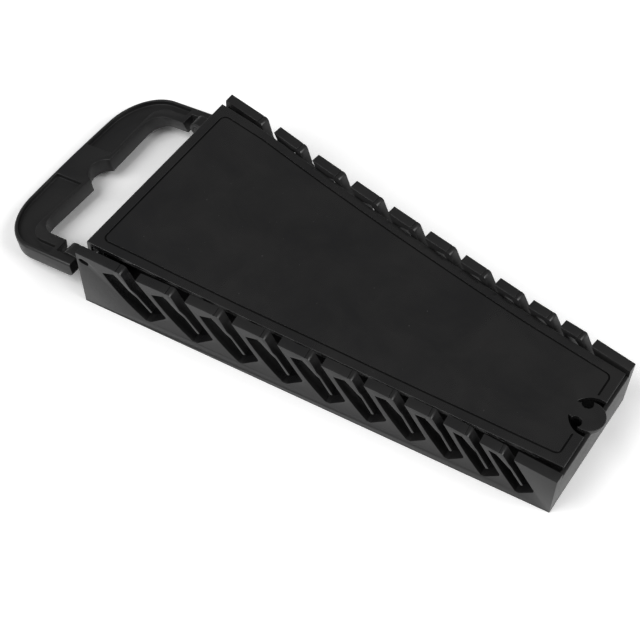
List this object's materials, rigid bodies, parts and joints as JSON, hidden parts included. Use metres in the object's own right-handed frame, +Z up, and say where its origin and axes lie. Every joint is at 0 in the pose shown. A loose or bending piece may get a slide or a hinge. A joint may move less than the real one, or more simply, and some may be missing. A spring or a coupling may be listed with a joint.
{
  "type": "wrench rack",
  "caption": "Tapered black plastic wrench rack with slanted side slots, spring fingers, a hinged lid and a swinging carry handle.",
  "frame": {"origin": "middle of the flat underside, on the centreline at half the body's length", "axes": "+Z up, +X along the rack from the wide end with the handle to the narrow end, +Y across it"},
  "size_m": [0.3517, 0.1406, 0.0442],
  "materials": {
    "tray_plastic": "satin",
    "lid_plastic": "fine texture",
    "handle_plastic": "fine texture"
  },
  "bodies": {
    "rack_body": {"near_side_wall": "tray_plastic", "far_side_wall": "tray_plastic", "wide_end_wall": "tray_plastic", "narrow_end_wall": "tray_plastic", "floor_panel": "tray_plastic"},
    "lid": {"lid": "lid_plastic"},
    "handle": {"handle": "handle_plastic"},
    "near_finger_01": {"near_finger_01": "tray_plastic"},
    "near_finger_02": {"near_finger_02": "tray_plastic"},
    "near_finger_03": {"near_finger_03": "tray_plastic"},
    "near_finger_04": {"near_finger_04": "tray_plastic"},
    "near_finger_05": {"near_finger_05": "tray_plastic"},
    "near_finger_06": {"near_finger_06": "tray_plastic"},
    "near_finger_07": {"near_finger_07": "tray_plastic"},
    "near_finger_08": {"near_finger_08": "tray_plastic"},
    "near_finger_09": {"near_finger_09": "tray_plastic"},
    "near_finger_10": {"near_finger_10": "tray_plastic"},
    "far_finger_01": {"far_finger_01": "tray_plastic"},
    "far_finger_02": {"far_finger_02": "tray_plastic"},
    "far_finger_03": {"far_finger_03": "tray_plastic"},
    "far_finger_04": {"far_finger_04": "tray_plastic"},
    "far_finger_05": {"far_finger_05": "tray_plastic"},
    "far_finger_06": {"far_finger_06": "tray_plastic"},
    "far_finger_07": {"far_finger_07": "tray_plastic"},
    "far_finger_08": {"far_finger_08": "tray_plastic"},
    "far_finger_09": {"far_finger_09": "tray_plastic"},
    "far_finger_10": {"far_finger_10": "tray_plastic"}
  },
  "joints": [
    {"name": "lid_hinge", "type": "hinge", "parent": "rack_body", "child": "lid", "pos_m": [-0.1346, 0, 0.038], "axis": [0, -1, 0], "range_deg": [0, 90]},
    {"name": "handle_hinge", "type": "hinge", "parent": "rack_body", "child": "handle", "pos_m": [-0.1548, 0, 0.0192], "axis": [0, 1, 0], "range_deg": [0, 100]},
    {"name": "near_finger_01_flex", "type": "hinge", "parent": "rack_body", "child": "near_finger_01", "pos_m": [-0.11424, -0.06463, 0.0405], "axis": [-0.1023, 0.9948, 0], "range_deg": [0, 8], "stiffness_Nm_per_rad": 0.2},
    {"name": "near_finger_02_flex", "type": "hinge", "parent": "rack_body", "child": "near_finger_02", "pos_m": [-0.08405, -0.06153, 0.03941], "axis": [-0.1023, 0.9948, 0], "range_deg": [0, 8], "stiffness_Nm_per_rad": 0.2},
    {"name": "near_finger_03_flex", "type": "hinge", "parent": "rack_body", "child": "near_finger_03", "pos_m": [-0.05522, -0.05856, 0.03837], "axis": [-0.1023, 0.9948, 0], "range_deg": [0, 8], "stiffness_Nm_per_rad": 0.2},
    {"name": "near_finger_04_flex", "type": "hinge", "parent": "rack_body", "child": "near_finger_04", "pos_m": [-0.02775, -0.05574, 0.03739], "axis": [-0.1023, 0.9948, 0], "range_deg": [0, 8], "stiffness_Nm_per_rad": 0.2},
    {"name": "near_finger_05_flex", "type": "hinge", "parent": "rack_body", "child": "near_finger_05", "pos_m": [-0.00164, -0.05305, 0.03646], "axis": [-0.1023, 0.9948, 0], "range_deg": [0, 8], "stiffness_Nm_per_rad": 0.2},
    {"name": "near_finger_06_flex", "type": "hinge", "parent": "rack_body", "child": "near_finger_06", "pos_m": [0.02311, -0.05051, 0.03559], "axis": [-0.1023, 0.9948, 0], "range_deg": [0, 8], "stiffness_Nm_per_rad": 0.2},
    {"name": "near_finger_07_flex", "type": "hinge", "parent": "rack_body", "child": "near_finger_07", "pos_m": [0.04651, -0.0481, 0.03476], "axis": [-0.1023, 0.9948, 0], "range_deg": [0, 8], "stiffness_Nm_per_rad": 0.2},
    {"name": "near_finger_08_flex", "type": "hinge", "parent": "rack_body", "child": "near_finger_08", "pos_m": [0.06854, -0.04583, 0.03399], "axis": [-0.1023, 0.9948, 0], "range_deg": [0, 8], "stiffness_Nm_per_rad": 0.2},
    {"name": "near_finger_09_flex", "type": "hinge", "parent": "rack_body", "child": "near_finger_09", "pos_m": [0.08922, -0.04371, 0.03327], "axis": [-0.1023, 0.9948, 0], "range_deg": [0, 8], "stiffness_Nm_per_rad": 0.2},
    {"name": "near_finger_10_flex", "type": "hinge", "parent": "rack_body", "child": "near_finger_10", "pos_m": [0.10853, -0.04172, 0.0326], "axis": [-0.1023, 0.9948, 0], "range_deg": [0, 8], "stiffness_Nm_per_rad": 0.2},
    {"name": "far_finger_01_flex", "type": "hinge", "parent": "rack_body", "child": "far_finger_01", "pos_m": [-0.11424, 0.06463, 0.0405], "axis": [0.1023, 0.9948, 0], "range_deg": [0, 8], "stiffness_Nm_per_rad": 0.2},
    {"name": "far_finger_02_flex", "type": "hinge", "parent": "rack_body", "child": "far_finger_02", "pos_m": [-0.08405, 0.06153, 0.03941], "axis": [0.1023, 0.9948, 0], "range_deg": [0, 8], "stiffness_Nm_per_rad": 0.2},
    {"name": "far_finger_03_flex", "type": "hinge", "parent": "rack_body", "child": "far_finger_03", "pos_m": [-0.05522, 0.05856, 0.03837], "axis": [0.1023, 0.9948, 0], "range_deg": [0, 8], "stiffness_Nm_per_rad": 0.2},
    {"name": "far_finger_04_flex", "type": "hinge", "parent": "rack_body", "child": "far_finger_04", "pos_m": [-0.02775, 0.05574, 0.03739], "axis": [0.1023, 0.9948, 0], "range_deg": [0, 8], "stiffness_Nm_per_rad": 0.2},
    {"name": "far_finger_05_flex", "type": "hinge", "parent": "rack_body", "child": "far_finger_05", "pos_m": [-0.00164, 0.05305, 0.03646], "axis": [0.1023, 0.9948, 0], "range_deg": [0, 8], "stiffness_Nm_per_rad": 0.2},
    {"name": "far_finger_06_flex", "type": "hinge", "parent": "rack_body", "child": "far_finger_06", "pos_m": [0.02311, 0.05051, 0.03559], "axis": [0.1023, 0.9948, 0], "range_deg": [0, 8], "stiffness_Nm_per_rad": 0.2},
    {"name": "far_finger_07_flex", "type": "hinge", "parent": "rack_body", "child": "far_finger_07", "pos_m": [0.04651, 0.0481, 0.03476], "axis": [0.1023, 0.9948, 0], "range_deg": [0, 8], "stiffness_Nm_per_rad": 0.2},
    {"name": "far_finger_08_flex", "type": "hinge", "parent": "rack_body", "child": "far_finger_08", "pos_m": [0.06854, 0.04583, 0.03399], "axis": [0.1023, 0.9948, 0], "range_deg": [0, 8], "stiffness_Nm_per_rad": 0.2},
    {"name": "far_finger_09_flex", "type": "hinge", "parent": "rack_body", "child": "far_finger_09", "pos_m": [0.08922, 0.04371, 0.03327], "axis": [0.1023, 0.9948, 0], "range_deg": [0, 8], "stiffness_Nm_per_rad": 0.2},
    {"name": "far_finger_10_flex", "type": "hinge", "parent": "rack_body", "child": "far_finger_10", "pos_m": [0.10853, 0.04172, 0.0326], "axis": [0.1023, 0.9948, 0], "range_deg": [0, 8], "stiffness_Nm_per_rad": 0.2}
  ]
}
